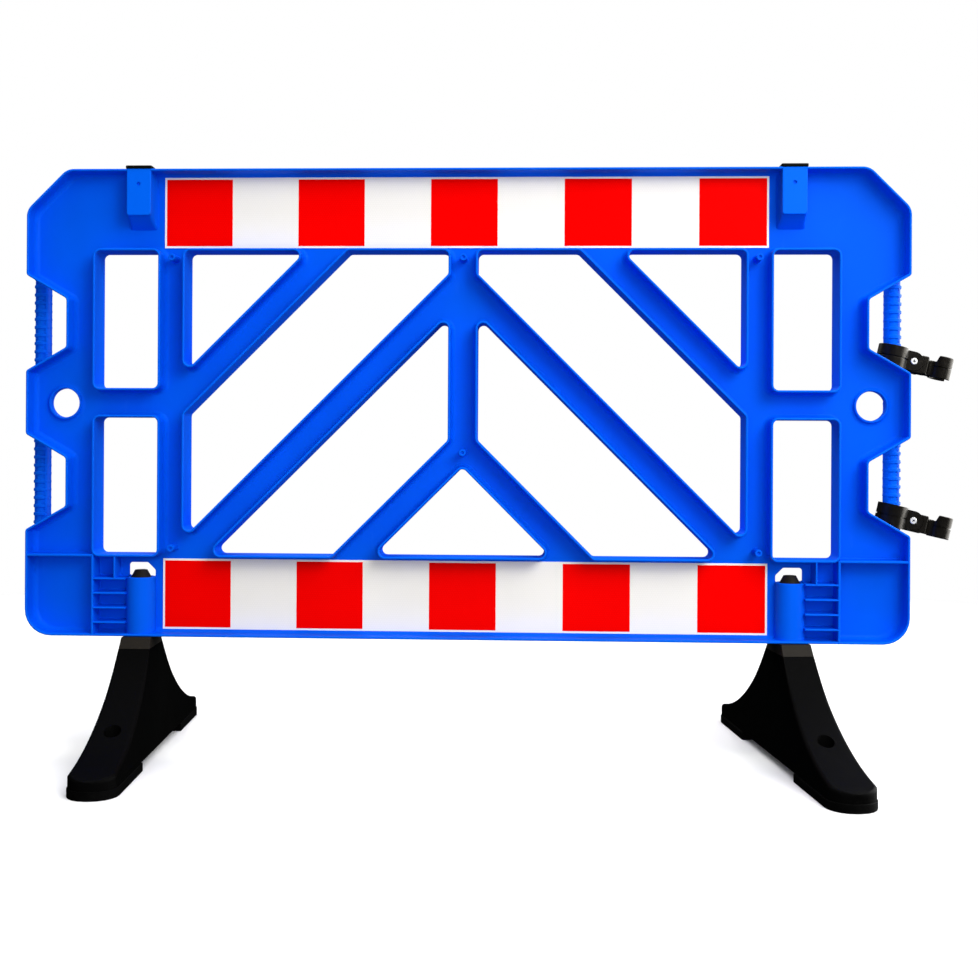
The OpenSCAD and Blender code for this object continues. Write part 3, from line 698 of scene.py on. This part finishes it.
plug_black = black_plastic(
    "black_plug_plastic", (0.004, 0.0036, 0.003, 1), (0.012, 0.010, 0.008, 1), 0.45, 700.0, 0.04
)
for side in ("left", "right"):
    dress(soften(f"{side}_socket_plug", 1.2), plug_black)

# Clips: two clamp halves of glossy black plastic close round the right connector bar and hang askew on it. A tubular
# steel rivet through their ears holds them, and a moulded hook turns on it, whose open jaw snaps over a bar.
CLIP_HALF_H, CLIP_DROOP, CLIP_LEVELS = 19.0, 13, (("upper", 685.6), ("lower", 412.6))
RIVET_X, RIVET_HOLE_R, EAR_CLEAR_R, EAR_OUT, TONGUE_HALF, TONGUE_R = 34.0, 4.4, 17.2, 20, 6.0, 10.4
ARM_HALF, ARM_EDGE, SHOULDER, SADDLE, WAIST, HEEL = 14.4, 1.8, 2.8, 4.2, 5.4, 1.2
JAW_X, JAW_BORE_R, JAW_R, JAW_MOUTH, JAW_GROOVE, JAW_EDGE, JAW_LOW = 85.5, 15.4, 19.6, 24.0, 2.0, 1.4, 8.5


def ease(value, start, end):
    """0 before start, 1 after end, with a smooth climb between (three times the square less twice the cube)."""
    t = np.clip((value - start) / (end - start), 0, 1)
    return t * t * (3 - 2 * t)


def hook_arm():
    """Sections across the hook's arm from its tongue to its jaw, with x measured from the rivet. Each is a
    rectangle with rounded corners. Its top climbs from the tongue to a shoulder and dips to a saddle, and its
    sides draw in to a waist before the jaw."""
    x = np.concatenate(
        (np.linspace(-6, 10, 6), np.linspace(11, 14, 6), np.linspace(17, 22, 3), np.linspace(23, 35.5, 18))
    )
    tongue = np.sqrt(TONGUE_R ** 2 - np.minimum(x, 0) ** 2)
    top = tongue + SHOULDER * ease(x, 11, 13.5) - SADDLE * ease(x, 24, 27.5)
    low = HEEL * ease(x, 14, 17) - CLIP_HALF_H
    half = ARM_HALF - WAIST * ease(x, 23, 29) + 1.5 * ease(x, 32.5, 35.5)
    quarter, r = np.repeat(np.arange(4), 5), ARM_EDGE
    a = np.radians(90 * quarter + np.tile(np.linspace(0, 90, 5), 4))
    right, up = np.where((quarter == 0) | (quarter == 3), 1, -1), np.where(quarter < 2, 1, -1)
    top, low, half = top[:, None], low[:, None], half[:, None]
    y = right * (half - r) + r * np.cos(a)
    z = (top + low) / 2 + up * ((top - low) / 2 - r) + r * np.sin(a)
    return np.stack((np.repeat(x[:, None] + RIVET_X, len(a), 1), y, z), -1)


def hook_jaw():
    """The jaw's wall carried round the bar's place from one lip of the mouth to the other: each point of the wall's
    section keeps its radius and starts where the mouth's straight side cuts that radius. The wall's top dips where
    it meets the arm, further on the rear side, and its thickness draws in at the lips."""
    e, h, g = JAW_EDGE, CLIP_HALF_H, JAW_GROOVE
    wall = np.concatenate(
        (
            arc((JAW_BORE_R + e, e - h), e, 180, 270, 4),
            arc((JAW_R - e, e - h), e, -90, 0, 4),
            [(JAW_R, -g / 2), (JAW_R - g, -g / 2), (JAW_R - g, g / 2), (JAW_R, g / 2)],
            arc((JAW_R - e, h - e), e, 0, 90, 4),
            arc((JAW_BORE_R + e, h - e), e, 90, 180, 4),
        )
    )
    steps = 80
    share = np.linspace(0, 1, steps + 1)[:, None]
    from_lip = np.minimum(share, 1 - share) * steps
    thin = 0.4 + 0.6 * np.sqrt(1 - (1 - np.clip(from_lip / 2, 0, 1)) ** 2)
    middle = (JAW_BORE_R + JAW_R) / 2
    radius = middle + (wall[:, 0] - middle) * thin
    mouth = np.arcsin(JAW_MOUTH / 2 / radius)
    a = mouth + share * (2 * np.pi - 2 * mouth)
    turn = np.degrees(a) - 180
    height = JAW_LOW + (h - JAW_LOW) * np.where(turn > 0, ease(turn, 42, 56), ease(-turn, 78, 96))
    above = wall[:, 1] - g / 2
    z = np.where(above > 0, g / 2 + above * (height - g / 2) / (h - g / 2), wall[:, 1])
    return np.stack((JAW_X + radius * np.cos(a), radius * np.sin(a), z), -1)


def turned(points, degrees, first, second):
    """Points turned by an angle from one axis towards another (0 is x, 1 is y and 2 is z)."""
    c, s = math.cos(math.radians(degrees)), math.sin(math.radians(degrees))
    a, b, made = points[..., first], points[..., second], points.copy()
    made[..., first], made[..., second] = c * a - s * b, s * a + c * b
    return made


ear_room = [
    (EAR_CLEAR_R, -EAR_OUT), (EAR_CLEAR_R, -TONGUE_HALF), (RIVET_HOLE_R, -TONGUE_HALF),
    (RIVET_HOLE_R, TONGUE_HALF), (EAR_CLEAR_R, TONGUE_HALF), (EAR_CLEAR_R, EAR_OUT),
]
ear_rings = ring_stack(ear_room, RIVET_X, 0)[..., [0, 2, 1]]
clip_black = black_plastic(
    "black_clip_plastic", (0.004, 0.0036, 0.003, 1), (0.016, 0.013, 0.010, 1), 0.24, 900.0, 0.26,
    tint=(1.0, 0.93, 0.80, 1),
)
rivet_steel, place, feed = new_finish("bright_rivet_steel", Metallic=0.6)
polish = place.noise(420.0, 2.0, (1.0, 6.0, 1.0))
feed("Base Color", polish.mix((0.84, 0.84, 0.82, 1), (0.95, 0.95, 0.93, 1)))
feed("Roughness", 0.42 + 0.16 * polish)
feed("Normal", polish.bump(0.1, 0.0002))
for level, z in CLIP_LEVELS:
    for part in ("clamp_front", "clamp_rear"):
        dress(soften(f"{level}_{part}", 1.2), clip_black)
    dress(soften(f"{level}_rivet", 0.35, 2), rivet_steel)
    arm_shell, jaw_shell, ear_cutter = Shell(), Shell(), Shell()
    for shell, rings in ((arm_shell, hook_arm()), (jaw_shell, hook_jaw()), (ear_cutter, ear_rings)):
        shell.tube(turned(rings, CLIP_DROOP, 2, 0) + (RIGHT_BAR_X, BAR_Y, z))
    arm, jaw = arm_shell.piece(f"{level}_hook_arm"), jaw_shell.piece(f"{level}_hook_jaw")
    for piece in (arm, jaw):
        dress(piece, clip_black)
        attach(piece, f"{level}_hook")
        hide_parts(f"{level}_hook")
    cut_away(arm, ear_cutter.piece(f"{level}_ear_cutter"))


# Feet: long mouldings of black plastic with a hollow curve up to the neck, that turn under the panel. A square collar
# and a round spigot stand on each neck, and rubber pads are glued under both toes.
FOOT_END, FOOT_Z, FOOT_NECK_Z = 316.5, 14.0, 181.9
FOOT_HALF_W, FOOT_LEAN, TOE_R, TOE_EASE, RIDGE_R = 38.0, 13.0 / 186.0, 35.0, 5.0, 6.0
CURVE_R, CURVE_Y, CURVE_Z = 379.0, 350.8, 409.6
ANCHOR_Y, ANCHOR_R, ANCHOR_CUT = 178.0, 13.5, (-20, 200)
RIDGE_FADE, RIDGE_LEAST, SOLE_EDGE = 60, 0.12, np.array([(1.2, 0.0), (0.3, 0.3), (0.0, 1.2)])


def foot_surface():
    """Sections across the foot from toe to toe. Along the length the top follows a hollow circle and eases down at
    the toe, where the plan turns in on a circle. Each section is a rectangle whose sides lean in with height, with
    rounded top corners that grow sharp towards the neck."""
    turn_in = np.radians(np.linspace(0, 90, 12))
    straight = np.linspace(0, FOOT_END - TOE_R, 48)[:-1]
    along = np.concatenate((straight, FOOT_END - TOE_R + TOE_R * np.sin(turn_in)))
    turned_in = np.concatenate((straight * 0, 1 - np.cos(turn_in)))
    curve = CURVE_Z - np.sqrt(CURVE_R ** 2 - (along - CURVE_Y) ** 2)
    top = np.minimum(curve, FOOT_NECK_Z) - TOE_EASE * turned_in
    bottom_half = FOOT_HALF_W - TOE_R * turned_in
    top_half = np.minimum(FOOT_HALF_W - FOOT_LEAN * (top - FOOT_Z), bottom_half)
    r = RIDGE_R * np.clip((FOOT_NECK_Z - top) / RIDGE_FADE, RIDGE_LEAST, 1)
    r = np.minimum(r, np.minimum((top - FOOT_Z) / 2.2, top_half))
    y, top, bottom_half, top_half, r = (
        np.concatenate((mirror * v[:0:-1], v))[:, None]
        for mirror, v in ((-1, along), (1, top), (1, bottom_half), (1, top_half), (1, r))
    )
    a = np.radians(np.linspace(0, 90, 7))
    upper = np.stack((top_half - r + r * np.cos(a), top - r + r * np.sin(a)), -1)
    lower = np.stack((bottom_half - SOLE_EDGE[:, 0], y * 0 + FOOT_Z + SOLE_EDGE[:, 1]), -1)
    right = np.concatenate((lower, upper), 1)
    section = np.concatenate((right, right[:, ::-1] * (-1, 1)), 1)
    return np.stack((section[..., 0], np.repeat(y, section.shape[1], 1), section[..., 1]), -1)


foot_black = black_plastic(
    "black_foot_plastic", (0.0012, 0.0012, 0.0012, 1), (0.004, 0.004, 0.0037, 1), 0.45, 600.0, 0.016
)
collar_grey = black_plastic(
    "charcoal_collar_plastic", (0.012, 0.010, 0.007, 1), (0.03, 0.025, 0.018, 1), 0.5, 700.0, 0.1
)
sole_rubber, place, feed = new_finish("sole_rubber", Specular_IOR_Level=0.03)
tread = place.node("ShaderNodeTexVoronoi", {}, {"Vector": place, "Scale": 420.0})
dust = place.noise(70.0, 4.0)
feed("Base Color", (dust.ramp(0.45, 0.8) * 0.5).mix((0.0015, 0.0015, 0.0015, 1), (0.004, 0.004, 0.0037, 1)))
feed("Roughness", 0.62 + 0.25 * dust)
feed("Normal", (tread + 0.5 * dust).bump(0.3, 0.0005))

for side, x, degrees in (("left", -SOCKET_X, 2.9), ("right", SOCKET_X, 6.1)):
    foot_shell, hole_cutter = Shell(), Shell()
    foot_shell.tube(turned(foot_surface(), degrees, 0, 1) + (x, 0, 0))
    for end in (-ANCHOR_Y, ANCHOR_Y):
        hole_x, hole_y = turned(np.array((0.0, end)), degrees, 0, 1) + (x, 0)
        hole_cutter.tube(ring_stack([(ANCHOR_R, z) for z in ANCHOR_CUT], hole_x, hole_y, 48))
    foot = dress(foot_shell.piece(f"{side}_foot_moulding"), foot_black)
    cut_away(foot, hole_cutter.piece(f"{side}_hole_cutter"))
    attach(foot, f"{side}_foot")
    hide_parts(f"{side}_foot")
    dress(soften(f"{side}_spigot", 0.8), collar_grey)
    for end in ("front", "rear"):
        dress(soften(f"{side}_{end}_sole", 2.0), sole_rubber)


# Studio: a pale floor that runs out to a white surround, and soft lights from the upper right in front, the front,
# low down, the right, above and behind. A card on the right shows only in reflections, where the floor and the
# surround are left out, so that black stays black.
FLOOR_R, FLOOR_SIDES = 2700, 120
floor_shell = Shell()
floor_shell.patch(np.insert(circle((0, 0), FLOOR_R, FLOOR_SIDES), 2, 0, 1), [range(FLOOR_SIDES)])
floor = floor_shell.piece("studio_floor")
floor_paint, place, feed = new_finish("pale_studio_floor", Specular_IOR_Level=0.1)
feed("Base Color", place.noise(1.5).mix((0.93, 0.93, 0.93, 1), (0.95, 0.95, 0.95, 1)))
feed("Roughness", 0.7 + 0.1 * place.noise(3.0))
dress(floor, floor_paint)
floor.visible_diffuse = floor.visible_glossy = False

SEEN_WHITE, CAST_WHITE = 1.0, 0.30
world = bpy.data.worlds.new("studio")
world.use_nodes = True
sky = Wire(world.node_tree)
seen = sky.node("ShaderNodeBackground", {}, {"Color": (1, 1, 1, 1), "Strength": SEEN_WHITE})
cast = sky.node("ShaderNodeBackground", {}, {"Color": (1, 1, 1, 1), "Strength": CAST_WHITE})
backdrop = sky.node("ShaderNodeMixShader", {}, {0: sky.node("ShaderNodeLightPath"), 1: cast, 2: seen})
world.node_tree.links.new(backdrop.socket, world.node_tree.nodes["World Output"].inputs["Surface"])
bpy.context.scene.world = world
world.cycles_visibility.glossy = False
# Each light's name, place, aim, size in metres, power in watts, whether it lights and whether it shows in reflections
for name, at, aim, size, power, lights, shows in (
    ("key_light", (2.0, -2.0, 2.4), (0.4, 0, 0.6), 2.0, 62, True, True),
    ("front_light", (1.3, -2.4, 1.6), (0.4, 0, 0.7), 1.4, 30, True, False),
    ("low_light", (0.1, -2.4, 0.25), (0.3, 0, 0.7), 1.4, 13, True, False),
    ("right_light", (2.6, 0.6, 1.1), (0.6, 0, 0.6), 1.2, 25, True, True),
    ("right_card", (2.2, 0.3, 0.9), (0.7, 0, 0.6), 2.4, 145, False, True),
    ("top_light", (0, 0.3, 4.2), (0, 0.2, 0), 4.0, 200, True, True),
    ("back_light", (-1.6, 3.0, 3.2), (0, 0, 0.6), 2.2, 50, True, True),
):
    lamp = bpy.data.lights.new(name, "AREA")
    lamp.energy, lamp.size = power, size
    light = bpy.data.objects.new(name, lamp)
    light.location = at
    light.visible_diffuse, light.visible_glossy = lights, shows
    light.rotation_euler = (Vector(aim) - Vector(at)).to_track_quat("-Z", "Y").to_euler()
    bpy.context.scene.collection.objects.link(light)

# Camera: in front of the barrier and a little right of its middle, at half its height, looking level and very slightly
# to the left. The shift only sets the barrier in the frame.
CAMERA_AT, CAMERA_WAY, CAMERA_ROLL = (0.0945, -2.1475, 0.5297), (-0.03844, 0.99926, 0.00083), 0.3065
camera_data = bpy.data.cameras.new("camera")
camera_data.sensor_width, camera_data.lens, camera_data.clip_end = 36.0, 46.174, 200.0
camera_data.shift_x, camera_data.shift_y = 0.01954, -0.04562
camera = bpy.data.objects.new("camera", camera_data)
look = Vector(CAMERA_WAY).to_track_quat("-Z", "Y").to_matrix().to_4x4()
camera.matrix_world = Matrix.Translation(CAMERA_AT) @ look @ Matrix.Rotation(math.radians(CAMERA_ROLL), 4, "Z")
bpy.context.scene.collection.objects.link(camera)
bpy.context.scene.camera = camera
bpy.context.scene.view_settings.view_transform = "Standard"
